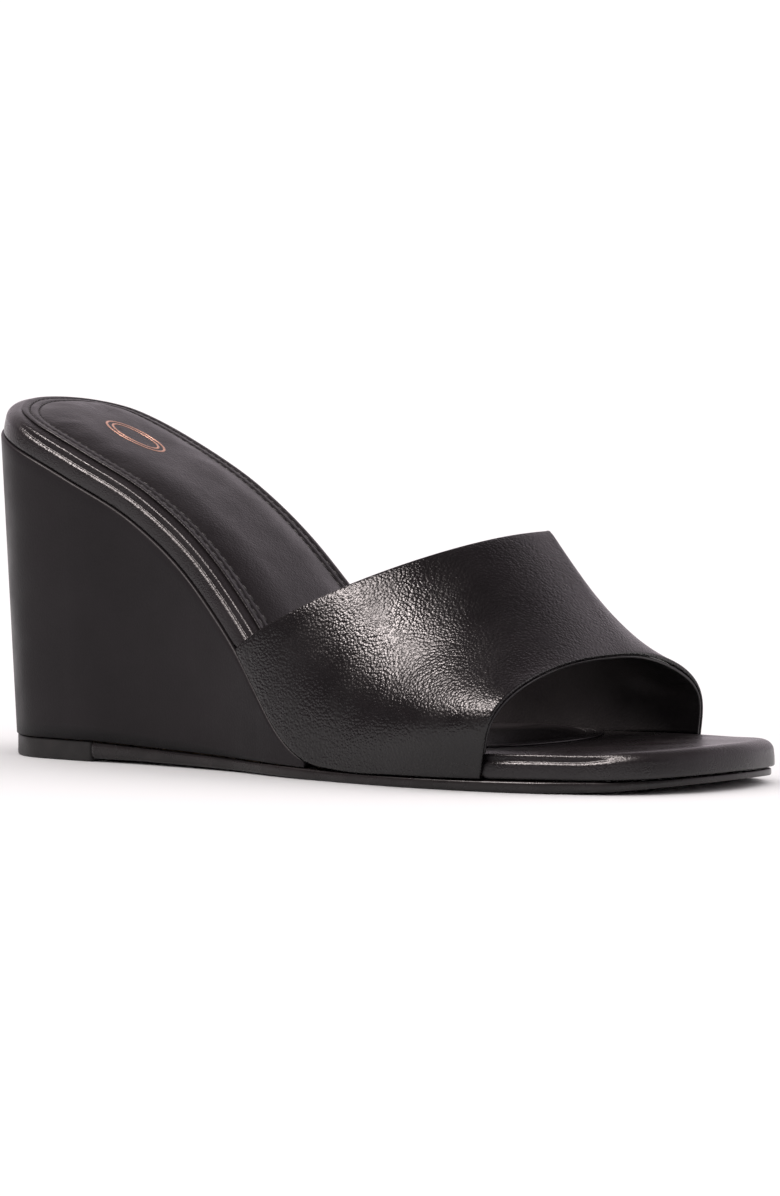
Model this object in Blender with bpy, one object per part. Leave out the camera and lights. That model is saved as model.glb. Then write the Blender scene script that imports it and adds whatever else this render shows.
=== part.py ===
"""Wedge sandal, right foot: an open-toe mule on a leather-covered wedge, as separate pieces.

Lengths in this file are millimetres, written to Blender in metres. X runs from the back of the
heel to the toe, Y from the outer (lateral) side to the inner (medial) side, and Z up from the
ground. A depth is measured square to the footbed, down from its upper face, and an inset is
measured in plan, inwards from the footbed's edge.
"""

import math

import bmesh
import bpy
import numpy as np

MM = 0.001
GAP = 0.3
FRAME_X = 110.7
FRAME_Y = -1.2

# The footbed seen from the side (X, Z of its upper edge) and from above (X, Y of its edge).
FOOTBED_SIDE = [
    (0, 90.9), (20, 85.8), (40, 77.8), (60, 68.0), (80, 53.5), (90, 43.6), (100, 32.6),
    (107, 24.0), (114, 16.0), (121, 11.2), (130, 9.9), (150, 9.8), (185, 10.2), (205, 10.5), (214, 11.0),
    (223, 11.9),
]
FOOTBED_PLAN = [
    (2.4, 1), (9.4, -15.6), (21, -25.7), (40, -28.5), (65, -28.1), (95, -31.2), (121, -38.5), (150, -42.6),
    (175, -41.2), (196, -35.3), (209.5, -28), (217.5, -15), (220.4, -1), (219.8, 12), (215.6, 25.5),
    (207, 34.2), (194, 38.5), (170, 39.2), (145, 34.6), (118, 28.4), (88, 25), (58, 27.1), (34, 29.3), (15, 27.3), (5.1, 18),
]

# The footbed's layers, as depths of their upper and lower faces.
WRAP_LEATHER = 0.9
FOAM_TOP = WRAP_LEATHER + GAP
FOAM_BOTTOM = 3.6
BOARD_TOP = FOAM_BOTTOM + GAP
BOARD_BOTTOM = 5.7
MARGIN_TOP = BOARD_BOTTOM + GAP
MARGIN_BOTTOM = 6.9
WEDGE_TOP = MARGIN_BOTTOM + GAP
MARGIN_WIDTH = 8.0

# The sock: a padded leather sheet from the heel to the ball of the foot.
SOCK_INSET = 3.4
SOCK_FRONT = 171.0
SOCK_RIM = 1.7
SOCK_CROWN = 2.6
SOCK_LEATHER = 0.8

# The sole: the height of the outsole's two faces along X, and the wedge's foot.
SOLE_UPPER_FACE = [
    (0, 5.2), (44.6, 5.2), (60, 4.5), (95, 3.4), (125, 2.6), (150, 2.6), (185, 2.9), (205, 3.2),
    (214, 3.7), (223, 4.5),
]
SOLE_LOWER_FACE = [(0, 0.8), (60, 0.8), (95, 0.4), (128, 0), (188, 0), (205, 0.8), (214, 1.8), (223, 3.0)]
SOLE_INSET = 0.5
TOP_PIECE_FRONT = 44.6
WEDGE_FRONT = 121.0
WEDGE_LEAN = 5.7
WEDGE_FOOT_HALF_WIDTH = 26.6
WEDGE_LEATHER = 0.8
WEDGE_PROUD = 0.4

# The vamp: where its lower edges start and end along X, the ridge over the foot as a curve with one
# control point, and how its sections change from the back edge to the front edge.
VAMP_LATERAL = (97.8, 173.6)
VAMP_MEDIAL = (96.3, 184.0)
VAMP_RIDGE = [(150.2, 22.5, 60.7), (183, 6.3, 32.4), (182.3, 5, 31.7)]
VAMP_SWEEP = (1.06, 0.67)
VAMP_SQUARE = (2.65, 2.82)
VAMP_TALL = (2.07, 3.1)
VAMP_LEATHER = 0.8
VAMP_PROUD = GAP + VAMP_LEATHER
VAMP_BULGE = (4.4, 4.8)
VAMP_HEM = 0.07
HEM_DEPTH = 1.4
STIFFENER = (1.15, 1.4)
LINING = (1.75, 2.4)
LINING_SKIP = 3
VAMP_COLUMNS = 37

# Fasteners: where each stands, and its radii.
WEDGE_NAILS = [(20.4, 0.6), (34.3, 12), (34.3, -12)]
SHANK_RIVETS = [(52.3, 0), (92.3, 0)]
TOP_PIECE_NAILS = [(14.5, 0.6), (21.4, 11.3), (21.4, -11.3)]
FASTENER_SIDES = 16
SHANK_ENDS = (44.0, 102.0)
SHANK_HALF_WIDTH = 6.0

# Fastener profiles, as (distance along the axis, radius) from the face that each goes in by.
NAIL = [(-0.3, 2.8), (-0.9, 2.8), (-0.9, 1.1), (-20, 1.1), (-22, 0.3)]
NAIL_HOLE = [(1.0, 3.1), (-1.2, 3.1), (-1.2, 1.4), (-22.4, 1.4)]
RIVET = [(-0.3, 2.6), (-0.9, 2.6), (-0.9, 1.2), (-3.2, 1.2), (-3.2, 2.4), (-3.7, 2.4)]
RIVET_HOLE = [(1.0, 2.9), (-1.2, 2.9), (-1.2, 1.5), (-3.05, 1.5), (-3.05, 2.7), (-4.0, 2.7)]
HEEL_PIN = [(0.8, 2.2), (1.4, 2.2), (1.4, 0.9), (15, 0.9), (17, 0.3)]
HEEL_PIN_HOLE = [(-1.0, 2.5), (1.7, 2.5), (1.7, 1.2), (17.4, 1.2)]


def hermite(knots, values, where):
    """A smooth curve through the values, read at the given places."""
    knots = np.asarray(knots, float)
    values = np.asarray(values, float)
    where = np.atleast_1d(np.asarray(where, float))
    slopes = np.gradient(values, knots, axis=0)
    i = np.clip(np.searchsorted(knots, where, side="right") - 1, 0, len(knots) - 2)
    span = knots[i + 1] - knots[i]
    t = (where - knots[i]) / span
    if values.ndim == 2:
        t = t[:, None]
        span = span[:, None]
    start = (1 + 2 * t) * (1 - t) ** 2 * values[i] + t * (1 - t) ** 2 * span * slopes[i]
    end = t * t * (3 - 2 * t) * values[i + 1] + t * t * (t - 1) * span * slopes[i + 1]
    return start + end


def footbed_height(x):
    side = np.array(FOOTBED_SIDE)
    return hermite(side[:, 0], side[:, 1], np.clip(x, 0, side[-1, 0]))


def footbed_normal(x):
    """The X and Z parts of the footbed's upward normal."""
    slope = footbed_height(np.add(x, 0.5)) - footbed_height(np.subtract(x, 0.5))
    length = np.sqrt(slope**2 + 1)
    return -slope / length, 1 / length


def on_footbed(plan, depth):
    """Points at a depth below the footbed's upper face, from plan points and their depths."""
    plan = np.asarray(plan, float)
    normal_x, normal_z = footbed_normal(plan[..., 0].ravel())
    shape = plan.shape[:-1]
    normal_x = normal_x.reshape(shape)
    normal_z = normal_z.reshape(shape)
    height = footbed_height(plan[..., 0].ravel()).reshape(shape)
    x = plan[..., 0] - depth * normal_x
    return np.stack([x, plan[..., 1], height - depth * normal_z], axis=-1)


def footbed_edge():
    """The edge in plan as a fine closed curve from the back of the heel, with its inward normals."""
    points = np.array(FOOTBED_PLAN + FOOTBED_PLAN[:3], float)
    points = np.vstack([FOOTBED_PLAN[-2:], points])
    knots = np.concatenate([[0], np.cumsum(np.linalg.norm(np.diff(points, axis=0), axis=1) ** 0.5)])
    where = np.linspace(knots[2], knots[-3], 1201)[:-1]
    edge = hermite(knots, points, where)
    tangent = np.roll(edge, -1, axis=0) - np.roll(edge, 1, axis=0)
    tangent /= np.linalg.norm(tangent, axis=1)[:, None]
    inward = np.stack([-tangent[:, 1], tangent[:, 0]], axis=1)
    start = int(edge[:, 0].argmin())
    return np.roll(edge, -start, axis=0), np.roll(inward, -start, axis=0)


EDGE, EDGE_INWARD = footbed_edge()
TOE = int(EDGE[:, 0].argmax())
HEEL_X = float(EDGE[0, 0])
TOE_X = float(EDGE[TOE, 0])


def side_at(x, side):
    """Edge point and inward normal at a distance along X, on the lateral or the medial side."""
    if side == "lateral":
        chain = slice(0, TOE + 1)
        points, inward = EDGE[chain], EDGE_INWARD[chain]
    else:
        points = np.vstack([EDGE[TOE:], EDGE[:1]])[::-1]
        inward = np.vstack([EDGE_INWARD[TOE:], EDGE_INWARD[:1]])[::-1]
    y = np.interp(x, points[:, 0], points[:, 1])
    normal = np.stack([np.interp(x, points[:, 0], inward[:, k]) for k in (0, 1)], axis=-1)
    return np.stack([np.asarray(x, float) + 0 * y, y], axis=-1), normal


def stations():
    """Places along X for the rows of a mesh: close together at the two rounded ends and in the arch."""
    heel = HEEL_X + 18 * (np.arange(1, 7) / 6) ** 2
    toe = TOE_X - 15 * (np.arange(1, 7) / 6) ** 2
    middle = np.concatenate([np.arange(26, 88, 6.2), np.arange(91, 128, 3.4), np.arange(133, 203, 6.4)])
    margins = [end + step for ends in (VAMP_LATERAL, VAMP_MEDIAL) for end, step in zip(ends, (-1, 1))]
    rows = np.concatenate([heel, middle, margins, toe])
    rows = np.sort(rows)
    keep = np.concatenate([[True], np.diff(rows) > 0.25])
    return rows[keep]


class Outline:
    """A ring of plan points round the footbed, or round the part of it between two distances."""

    def __init__(self, start=None, end=None):
        rows = stations()
        self.open_start = start is not None
        self.open_end = end is not None
        low = HEEL_X if start is None else start
        high = TOE_X if end is None else end
        rows = rows[(rows > low + 1.5 * self.open_start) & (rows < high - 1.5 * self.open_end)]
        if self.open_start:
            rows = np.concatenate([[start], rows])
        if self.open_end:
            rows = np.concatenate([rows, [end]])
        self.count = len(rows)
        lateral, lateral_in = side_at(rows, "lateral")
        medial, medial_in = side_at(rows, "medial")
        points = [lateral]
        normals = [lateral_in]
        if not self.open_end:
            points.append(EDGE[TOE : TOE + 1])
            normals.append(EDGE_INWARD[TOE : TOE + 1])
        points.append(medial[::-1])
        normals.append(medial_in[::-1])
        if not self.open_start:
            points.append(EDGE[:1])
            normals.append(EDGE_INWARD[:1])
        self.points = np.vstack(points)
        self.normals = np.vstack(normals)
        if self.open_start:
            self.normals[[0, -1], 0] = 0
        if self.open_end:
            self.normals[[self.count - 1, self.count], 0] = 0

    def plan(self, inset=0.0):
        return self.points + self.normals * np.reshape(inset, (-1, 1))

    def rows(self):
        """Index pairs of the ring's points that face each other across the footbed."""
        last = 2 * self.count - self.open_end
        return [(i, last - i) for i in range(self.count)]


def ring_solid(name, outline, rings, material):
    """A closed solid from rings of points, capped across its first and its last ring."""
    mesh = bmesh.new()
    layers = [[mesh.verts.new(tuple(point)) for point in ring] for ring in rings]
    size = len(layers[0])
    for upper, lower in zip(layers, layers[1:]):
        for i in range(size):
            j = (i + 1) % size
            mesh.faces.new((upper[i], upper[j], lower[j], lower[i]))
    for layer in (layers[0], layers[-1]):
        cap(mesh, layer, outline)
    return finish(name, mesh, material)


def cap(mesh, layer, outline):
    pairs = outline.rows()
    for (a, b), (c, d) in zip(pairs, pairs[1:]):
        mesh.faces.new((layer[a], layer[c], layer[d], layer[b]))
    if not outline.open_start:
        first = pairs[0]
        mesh.faces.new((layer[first[0]], layer[first[1]], layer[-1]))
    if not outline.open_end:
        last = pairs[-1]
        mesh.faces.new((layer[last[0]], layer[outline.count], layer[last[1]]))


def sheet_solid(name, outer, inner, material):
    """A closed solid between two grids of points of the same size."""
    mesh = bmesh.new()
    top = [[mesh.verts.new(tuple(point)) for point in row] for row in outer]
    low = [[mesh.verts.new(tuple(point)) for point in row] for row in inner]
    rows = len(top)
    columns = len(top[0])
    for grid in (top, low):
        for i in range(rows - 1):
            for j in range(columns - 1):
                mesh.faces.new((grid[i][j], grid[i + 1][j], grid[i + 1][j + 1], grid[i][j + 1]))
    border = [(i, 0) for i in range(rows)]
    border += [(rows - 1, j) for j in range(1, columns)]
    border += [(i, columns - 1) for i in range(rows - 2, -1, -1)]
    border += [(0, j) for j in range(columns - 2, 0, -1)]
    for (a, b), (c, d) in zip(border, border[1:] + border[:1]):
        mesh.faces.new((top[a][b], top[c][d], low[c][d], low[a][b]))
    return finish(name, mesh, material)


def finish(name, mesh, material):
    """Turns the mesh into a named object in metres, centred over the frame's origin."""
    bmesh.ops.recalc_face_normals(mesh, faces=mesh.faces)
    bmesh.ops.triangulate(mesh, faces=mesh.faces)
    for vertex in mesh.verts:
        vertex.co.x = (vertex.co.x - FRAME_X) * MM
        vertex.co.y = (vertex.co.y - FRAME_Y) * MM
        vertex.co.z *= MM
    data = bpy.data.meshes.new(name)
    mesh.to_mesh(data)
    mesh.free()
    part = bpy.data.objects.new(name, data)
    part.data.materials.append(material)
    bpy.context.scene.collection.objects.link(part)
    return part


def paint(name, colour, roughness, metallic=0.0):
    material = bpy.data.materials.new(name)
    material.use_nodes = True
    shader = material.node_tree.nodes["Principled BSDF"]
    shader.inputs["Base Color"].default_value = (*colour, 1)
    shader.inputs["Roughness"].default_value = roughness
    shader.inputs["Metallic"].default_value = metallic
    return material


def layer_slab(name, inset, top, bottom, material, start=None, end=None):
    """A plain layer of the footbed between two depths."""
    outline = Outline(start, end)
    plan = outline.plan(inset)
    return ring_solid(name, outline, [on_footbed(plan, top), on_footbed(plan, bottom)], material)


def under_vamp(outline):
    """True for the ring points that lie between the vamp's lower corners on their side."""
    x = outline.points[:, 0]
    lateral = outline.points[:, 1] < 0
    low = np.where(lateral, VAMP_LATERAL[0], VAMP_MEDIAL[0]) - 1.1
    high = np.where(lateral, VAMP_LATERAL[1], VAMP_MEDIAL[1]) + 1.1
    return (x > low) & (x < high)


def insole_cover():
    """The wrap: one leather over the foam and the edge, turned under except where the vamp is lasted."""
    outline = Outline()
    covered = under_vamp(outline)
    bottom = np.where(covered, BOARD_BOTTOM + 0.1, MARGIN_BOTTOM)
    turned = np.where(covered, WRAP_LEATHER + 0.1, MARGIN_WIDTH)
    turned_face = np.where(covered, BOARD_BOTTOM + 0.05, MARGIN_TOP)
    profile = [(6, 0), (2, 0.2), (0.6, 0.8), (0, 2.0), (0, bottom), (turned, bottom)]
    profile += [(turned, turned_face), (WRAP_LEATHER, turned_face)]
    profile += [(WRAP_LEATHER, 2.2), (1.6, 1.2), (2.4, 1.1), (6, WRAP_LEATHER)]
    rings = [on_footbed(outline.plan(inset), depth) for inset, depth in profile]
    leather = paint("insole_cover_leather", (0.035, 0.034, 0.037), 0.42)
    return ring_solid("insole_cover", outline, rings, leather)


def footbed_layers():
    foam = paint("cushion_foam", (0.55, 0.5, 0.42), 0.9)
    outline = Outline()
    rings = [(6, FOAM_TOP), (2.6, 1.45), (1.2, 2.4), (1.2, FOAM_BOTTOM)]
    rings = [on_footbed(outline.plan(inset), depth) for inset, depth in rings]
    ring_solid("foam_cushion", outline, rings, foam)
    board = paint("insole_fibreboard", (0.42, 0.3, 0.18), 0.85)
    board = layer_slab("insole_board", 1.3, BOARD_TOP, BOARD_BOTTOM, board)
    filler = paint("filler_cork", (0.45, 0.28, 0.14), 0.95)
    inset = MARGIN_WIDTH + 1.5
    top = MARGIN_TOP + 0.1
    bottom = MARGIN_BOTTOM - 0.1
    layer_slab("forepart_filler", inset, top, bottom, filler, SHANK_ENDS[1] + 4, 196)
    return board


def sock_rings(outline, profile):
    """Rings at the profile's insets and depths, with the inset kept along the sock's front end too."""
    rings = []
    for inset, depth in profile:
        plan = outline.plan(inset)
        near_front = np.clip((plan[:, 0] - SOCK_FRONT + 30) / 30, 0, 1)
        plan[:, 0] -= (inset - SOCK_INSET) * near_front
        rings.append(on_footbed(plan, depth))
    return rings


def sock():
    """The padded sock: a leather sheet with a thin rim, and the pad under its crown."""
    outline = Outline(None, SOCK_FRONT)
    leather = paint("sock_leather", (0.04, 0.038, 0.042), 0.5)
    rim = SOCK_INSET + SOCK_RIM
    profile = [(15, -SOCK_CROWN), (9, -2.3), (SOCK_INSET, -1.1), (SOCK_INSET, -GAP), (rim, -GAP)]
    profile += [(rim, -1.4), (9.5, -SOCK_CROWN + 1.1), (15, -SOCK_CROWN + SOCK_LEATHER)]
    ring_solid("sock_lining", outline, sock_rings(outline, profile), leather)
    inset = rim + GAP
    pad = [(14, -SOCK_CROWN + SOCK_LEATHER + GAP), (10, -0.9), (inset, -0.8), (inset, -GAP)]
    ring_solid("sock_pad", outline, sock_rings(outline, pad), paint("sock_foam", (0.5, 0.46, 0.4), 0.9))


def along(profile, x):
    profile = np.array(profile, float)
    return np.interp(x, profile[:, 0], profile[:, 1])


def wedge_foot(crown):
    """The lower loop of the wedge for its upper loop: narrower, and leaning forward at the back."""
    foot = crown.copy()
    lean = np.clip(1 - crown[:, 0] / 70, 0, 1) ** 2
    foot[:, 0] = crown[:, 0] + WEDGE_LEAN * lean
    narrow = WEDGE_FOOT_HALF_WIDTH / 28.6
    foot[:, 1] = crown[:, 1] * (narrow + (1 - narrow) * (1 - np.clip(1 - crown[:, 0] / 90, 0, 1)))
    foot[:, 2] = along(SOLE_UPPER_FACE, foot[:, 0]) + GAP
    return foot


def wedge_loops(outline, inset, heights):
    """Loops round the wedge at parts of its height, from 0 at its foot to 1 at its crown."""
    crown = on_footbed(outline.plan(inset - WEDGE_PROUD), WEDGE_TOP)
    foot = wedge_foot(crown)
    return [foot + (crown - foot) * height for height in heights]


def wedge():
    outline = Outline(None, WEDGE_FRONT)
    core = wedge_loops(outline, WEDGE_LEATHER + GAP, (1, 0))
    block = ring_solid("wedge_core", outline, core, paint("wedge_cork", (0.5, 0.34, 0.2), 0.9))
    outer = wedge_loops(outline, 0, (1, 0.5, 0))
    inner = wedge_loops(outline, WEDGE_LEATHER, (0, 0.5, 1))
    mesh = bmesh.new()
    leather = paint("wedge_leather", (0.045, 0.045, 0.05), 0.5)
    layers = [[mesh.verts.new(tuple(point)) for point in ring] for ring in outer + inner]
    size = len(layers[0])
    front = outline.count - 1
    for upper, lower in zip(layers, layers[1:] + layers[:1]):
        for i in range(size):
            if i == front:
                continue
            j = (i + 1) % size
            mesh.faces.new((upper[i], upper[j], lower[j], lower[i]))
    for end in (front, front + 1):
        mesh.faces.new([layer[end] for layer in layers])
    finish("wedge_cover", mesh, leather)
    return block


def sole():
    """The outsole from the top piece to the toe, and the top piece under the heel."""
    rubber = paint("outsole_rubber", (0.05, 0.04, 0.036), 0.55)
    outline = Outline(TOP_PIECE_FRONT + GAP + 1, None)
    upper = on_footbed(outline.plan(SOLE_INSET), WEDGE_TOP)
    is_heel = np.clip((100 - upper[:, 0]) / 20, 0, 1)
    foot = wedge_foot(on_footbed(outline.plan(0), WEDGE_TOP))
    upper[:, :2] = foot[:, :2] * is_heel[:, None] + upper[:, :2] * (1 - is_heel[:, None])
    upper[[0, -1], 0] = TOP_PIECE_FRONT + GAP
    upper[:, 2] = along(SOLE_UPPER_FACE, upper[:, 0])
    lower = upper.copy()
    lower[:, 2] = along(SOLE_LOWER_FACE, lower[:, 0])
    ring_solid("outsole", outline, [upper, lower], rubber)

    outline = Outline(None, TOP_PIECE_FRONT)
    plan = wedge_foot(on_footbed(outline.plan(0), WEDGE_TOP))
    plan[[outline.count - 1, outline.count], 0] = TOP_PIECE_FRONT
    upper = plan.copy()
    upper[:, 2] = SOLE_UPPER_FACE[0][1]
    lower = plan.copy()
    lower[:, 2] = 0
    moulded = paint("top_piece_rubber", (0.02, 0.02, 0.02), 0.6)
    return ring_solid("top_piece", outline, [upper, lower], moulded)


def vamp_section(u, angle):
    """A point of the vamp's outer face: u runs from its back edge to its front edge, angle over the foot."""
    u, angle = np.broadcast_arrays(u, angle)
    ridge = [(1 - u) ** 2 * a + 2 * u * (1 - u) * b + u**2 * c for a, b, c in zip(*VAMP_RIDGE)]
    lateral_x = VAMP_LATERAL[0] + (VAMP_LATERAL[1] - VAMP_LATERAL[0]) * u
    medial_x = VAMP_MEDIAL[0] + (VAMP_MEDIAL[1] - VAMP_MEDIAL[0]) * u
    on_lateral = angle < math.pi / 2
    foot = np.empty(u.shape + (3,))
    for side, x, chosen in (("lateral", lateral_x, on_lateral), ("medial", medial_x, ~on_lateral)):
        plan, inward = side_at(x, side)
        base = on_footbed(plan - inward * VAMP_PROUD, MARGIN_BOTTOM - VAMP_LEATHER)
        foot[chosen] = base[chosen]
    rise = np.clip(np.sin(angle), 0, 1)
    out = np.abs(np.cos(angle))
    sweep, square, tall = (a + (b - a) * u for a, b in (VAMP_SWEEP, VAMP_SQUARE, VAMP_TALL))
    bulge = np.where(on_lateral, -VAMP_BULGE[0], VAMP_BULGE[1]) * np.sin(math.pi * rise)
    x = foot[..., 0] + (ridge[0] - foot[..., 0]) * rise**sweep
    y = ridge[1] + (foot[..., 1] - ridge[1]) * out ** (2 / square) + bulge
    z = foot[..., 2] + (ridge[2] - foot[..., 2]) * rise ** (2 / tall)
    return np.stack([x, y, z], axis=-1)


def vamp_face(u, skip, depths):
    """A grid of the vamp at each row's depth under its outer face, without the first and last few columns."""
    rows = []
    fine = np.linspace(0, math.pi, 721)
    for part, depth in zip(u, np.broadcast_to(depths, u.shape)):
        section = vamp_section(part, fine)
        ahead = vamp_section(part + 0.004, fine)
        normal = np.cross(np.gradient(section, axis=0), ahead - section)
        normal /= np.linalg.norm(normal, axis=1)[:, None] + 1e-12
        length = np.concatenate([[0], np.cumsum(np.linalg.norm(np.diff(section, axis=0), axis=1))])
        where = np.linspace(0, length[-1], VAMP_COLUMNS)[skip : VAMP_COLUMNS - skip]
        index = np.interp(where, length, np.arange(len(fine)))
        place = np.stack([np.interp(index, np.arange(len(fine)), section[:, k]) for k in range(3)], axis=1)
        inward = np.stack([np.interp(index, np.arange(len(fine)), normal[:, k]) for k in range(3)], axis=1)
        inward /= np.linalg.norm(inward, axis=1)[:, None]
        rows.append(place + inward * depth)
    return np.array(rows)


def vamp_rows(start, end):
    """Parts of the way from the vamp's back edge to its front edge: close together over the arch."""
    rows = np.concatenate([np.arange(0, 0.47, 0.035), np.arange(0.54, 0.9, 0.08), [VAMP_HEM, 1 - VAMP_HEM]])
    rows = np.sort(np.concatenate([rows, [VAMP_HEM + 0.01, 1 - VAMP_HEM - 0.01]]))
    inside = rows[(rows > start + 0.008) & (rows < end - 0.008)]
    return np.concatenate([[start], inside, [end]])


def vamp_margin(u, depth, inset):
    """The vamp's lasting margin at the two lower edges, as (lateral, medial) columns."""
    columns = []
    for side, ends in (("lateral", VAMP_LATERAL), ("medial", VAMP_MEDIAL)):
        plan, inward = side_at(ends[0] + (ends[1] - ends[0]) * u, side)
        columns.append(on_footbed(plan + inward * inset, depth))
    return columns


def vamp_layers():
    """What lies between the vamp's leather and the foot: edge tapes, interlining and lining."""
    tape = paint("edge_tape_nylon", (0.7, 0.7, 0.68), 0.7)
    cloth = paint("interlining_cloth", (0.5, 0.5, 0.48), 0.9)
    skin = paint("vamp_lining_leather", (0.03, 0.029, 0.032), 0.55)
    strips = [
        ("topline_tape_back", 0.098, 0.135, STIFFENER, tape),
        ("vamp_interlining", 0.148, 0.852, STIFFENER, cloth),
        ("topline_tape_front", 0.865, 0.902, STIFFENER, tape),
        ("vamp_lining", 0.015, 0.985, LINING, skin),
    ]
    for name, start, end, depths, material in strips:
        u = vamp_rows(start, end)
        faces = [vamp_face(u, LINING_SKIP, depth) for depth in depths]
        sheet_solid(name, *faces, material)


def vamp():
    leather = paint("vamp_leather", (0.045, 0.043, 0.047), 0.4)
    u = vamp_rows(0, 1)
    hemmed = (u <= VAMP_HEM) | (u >= 1 - VAMP_HEM)
    outer = vamp_face(u, 0, 0)
    inner = vamp_face(u, 0, np.where(hemmed, HEM_DEPTH, VAMP_LEATHER))
    inner[:, 0] = outer[:, 0]
    inner[:, -1] = outer[:, -1]
    for k, column in ((0, 0), (-1, 1)):
        inner[:, k] = vamp_margin(u, MARGIN_BOTTOM - VAMP_LEATHER, -GAP)[column]
    low = [vamp_margin(u, MARGIN_BOTTOM, inset) for inset in (-0.6, MARGIN_WIDTH)]
    high = [vamp_margin(u, MARGIN_BOTTOM - VAMP_LEATHER, inset) for inset in (-GAP + 0.1, MARGIN_WIDTH)]
    outer = np.concatenate(
        [low[1][0][:, None], low[0][0][:, None], outer, low[0][1][:, None], low[1][1][:, None]], axis=1
    )
    inner = np.concatenate(
        [high[1][0][:, None], high[0][0][:, None], inner, high[0][1][:, None], high[1][1][:, None]], axis=1
    )
    sheet_solid("vamp_outer", outer, inner, leather)


def shank():
    """The spring steel under the arch, which follows the footbed."""
    x = np.linspace(*SHANK_ENDS, 18)
    narrow = 1 - 0.35 * np.abs(np.linspace(-1, 1, len(x))) ** 6
    across = np.array([-1, -0.4, 0.4, 1]) * SHANK_HALF_WIDTH
    plan = np.stack([np.repeat(x[:, None], 4, axis=1), narrow[:, None] * across], axis=-1)
    faces = [on_footbed(plan, depth) for depth in (MARGIN_TOP + 0.1, MARGIN_BOTTOM - 0.1)]
    return sheet_solid("shank", *faces, paint("shank_steel", (0.55, 0.55, 0.57), 0.35, 1.0))


def turned(name, origin, axis, profile, material):
    """A round solid about an axis, from (distance along it, radius) pairs."""
    axis = np.array(axis) / np.linalg.norm(axis)
    side = np.cross(axis, (0, 1, 0))
    side /= np.linalg.norm(side)
    other = np.cross(axis, side)
    turn = np.linspace(0, 2 * math.pi, FASTENER_SIDES, endpoint=False)[:, None]
    mesh = bmesh.new()
    rings = []
    for distance, radius in profile:
        ring = origin + axis * distance + radius * (np.cos(turn) * side + np.sin(turn) * other)
        rings.append([mesh.verts.new(tuple(point)) for point in ring])
    for upper, lower in zip(rings, rings[1:]):
        for i in range(FASTENER_SIDES):
            j = (i + 1) % FASTENER_SIDES
            mesh.faces.new((upper[i], upper[j], lower[j], lower[i]))
    mesh.faces.new(rings[0])
    mesh.faces.new(rings[-1])
    return finish(name, mesh, material)


def drill(parts, cutter):
    cutter.hide_render = True
    cutter.display_type = "WIRE"
    for part in parts:
        hole = part.modifiers.new(cutter.name, "BOOLEAN")
        hole.operation = "DIFFERENCE"
        hole.solver = "EXACT"
        hole.object = cutter


def fasten(board, shank_bar, core, heel_rubber):
    """The nails and rivets, each in a drilled hole."""
    steel = paint("fastener_steel", (0.6, 0.6, 0.6), 0.4, 1.0)
    groups = [
        ("wedge_nail", WEDGE_NAILS, NAIL, NAIL_HOLE, (board, core)),
        ("shank_rivet", SHANK_RIVETS, RIVET, RIVET_HOLE, (board, shank_bar, core)),
    ]
    for name, places, profile, hole, parts in groups:
        for number, place in enumerate(places, 1):
            origin = on_footbed([place], BOARD_TOP)[0]
            normal_x, normal_z = footbed_normal([place[0]])
            axis = (normal_x[0], 0, normal_z[0])
            turned(f"{name}_{number}", origin, axis, profile, steel)
            drill(parts, turned(f"{name}_hole_{number}", origin, axis, hole, steel))
    for number, (x, y) in enumerate(TOP_PIECE_NAILS, 1):
        origin = np.array([x, y, 0.0])
        turned(f"top_piece_nail_{number}", origin, (0, 0, 1), HEEL_PIN, steel)
        cutter = turned(f"top_piece_nail_hole_{number}", origin, (0, 0, 1), HEEL_PIN_HOLE, steel)
        drill((heel_rubber, core), cutter)


def clear_scene():
    for old in list(bpy.data.objects):
        bpy.data.objects.remove(old, do_unlink=True)


def main():
    clear_scene()
    insole_cover()
    board = footbed_layers()
    sock()
    core = wedge()
    heel_rubber = sole()
    vamp()
    vamp_layers()
    fasten(board, shank(), core, heel_rubber)


main()
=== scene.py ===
"""The looks of the wedge sandal: fine leather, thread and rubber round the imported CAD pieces.

Shapes are worked out in millimetres in the design's own axes (X from the back of the heel to the
toe, Y towards the medial side, Z up) and written to Blender in metres in the frame's axes.
"""

import math

import bmesh
import bpy
import numpy as np
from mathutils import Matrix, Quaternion, Vector


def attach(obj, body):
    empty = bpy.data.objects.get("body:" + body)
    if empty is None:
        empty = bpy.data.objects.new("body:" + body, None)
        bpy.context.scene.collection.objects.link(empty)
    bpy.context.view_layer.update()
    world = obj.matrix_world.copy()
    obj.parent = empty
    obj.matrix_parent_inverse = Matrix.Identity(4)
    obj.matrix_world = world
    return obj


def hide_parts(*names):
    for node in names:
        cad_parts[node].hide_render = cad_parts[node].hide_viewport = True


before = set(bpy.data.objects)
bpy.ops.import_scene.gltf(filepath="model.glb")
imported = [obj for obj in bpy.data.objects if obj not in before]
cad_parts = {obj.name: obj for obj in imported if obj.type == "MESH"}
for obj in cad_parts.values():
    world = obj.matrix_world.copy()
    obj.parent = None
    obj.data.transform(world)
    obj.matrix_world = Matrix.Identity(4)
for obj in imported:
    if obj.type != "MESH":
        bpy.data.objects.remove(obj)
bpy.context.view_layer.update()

# A millimetre in metres, and the frame's origin in the design's axes.
MM = 0.001
FRAME_X = 110.7
FRAME_Y = -1.2

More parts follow.
